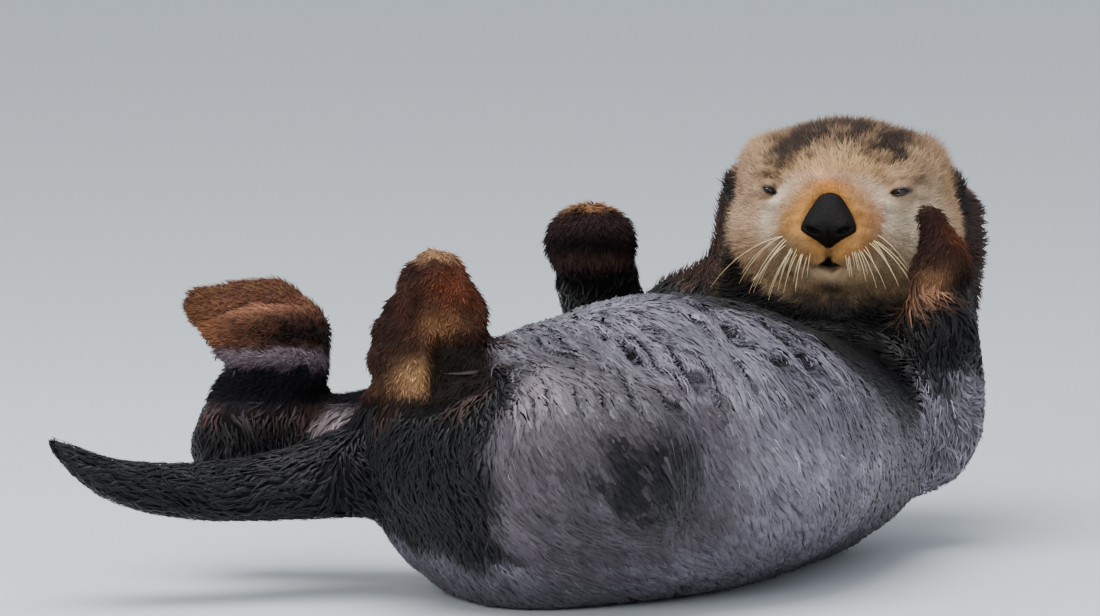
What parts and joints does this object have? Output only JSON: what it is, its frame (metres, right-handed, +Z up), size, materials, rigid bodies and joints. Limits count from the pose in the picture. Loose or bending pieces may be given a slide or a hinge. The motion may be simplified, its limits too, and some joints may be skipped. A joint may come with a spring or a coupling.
{
  "type": "sea otter, life-size still model",
  "caption": "A sea otter lying on its back, head curled up, one forepaw at the cheek, the other raised over the chest, hind feet up and tail trailing. It rests on its back on a floor.",
  "frame": {"origin": "on the floor, below the middle of the whole model's box", "axes": "+Z up; the tail points to -X; the face looks to -Y and slightly to -X; the trunk runs from the hips near -Y to the head at +X and +Y"},
  "size_m": [0.6802, 0.613, 0.304],
  "materials": {
    "coat_head": "dense dry fur, cream and tan with a brown crown",
    "coat_trunk": "wet fur in pointed clumps, grey with wet highlights",
    "coat_limbs": "short damp fur, dark brown with rust-brown edges",
    "coat_ear": "very short dark fur",
    "nose": "moist pebbled hairless pad",
    "eye": "wet and very glossy",
    "horn": "claws and whiskers, pale horn, slightly glossy"
  },
  "bodies": {
    "root": {"belly": "coat_trunk", "chest": "coat_trunk", "claw_fore_left_1": "horn", "claw_fore_left_2": "horn", "claw_fore_left_3": "horn", "claw_fore_left_4": "horn", "claw_fore_left_5": "horn", "claw_fore_right_1": "horn", "claw_fore_right_2": "horn", "claw_fore_right_3": "horn", "claw_fore_right_4": "horn", "claw_fore_right_5": "horn", "claw_hind_left_1": "horn", "claw_hind_left_2": "horn", "claw_hind_left_3": "horn", "claw_hind_left_4": "horn", "claw_hind_left_5": "horn", "claw_hind_right_1": "horn", "claw_hind_right_2": "horn", "claw_hind_right_3": "horn", "claw_hind_right_4": "horn", "claw_hind_right_5": "horn", "ear_left": "coat_ear", "ear_right": "coat_ear", "eye_left": "eye", "eye_right": "eye", "forearm_left": "coat_limbs", "forearm_right": "coat_limbs", "forepaw_left": "coat_limbs", "forepaw_right": "coat_limbs", "head": "coat_head", "hind_foot_left": "coat_limbs", "hind_foot_right": "coat_limbs", "neck": "coat_limbs", "nose": "nose", "pelvis": "coat_trunk", "shank_left": "coat_limbs", "shank_right": "coat_limbs", "tail_base": "coat_trunk", "tail_tip": "coat_trunk", "thigh_left": "coat_trunk", "thigh_right": "coat_limbs", "upper_arm_left": "coat_limbs", "upper_arm_right": "coat_limbs"}
  },
  "joints": []
}
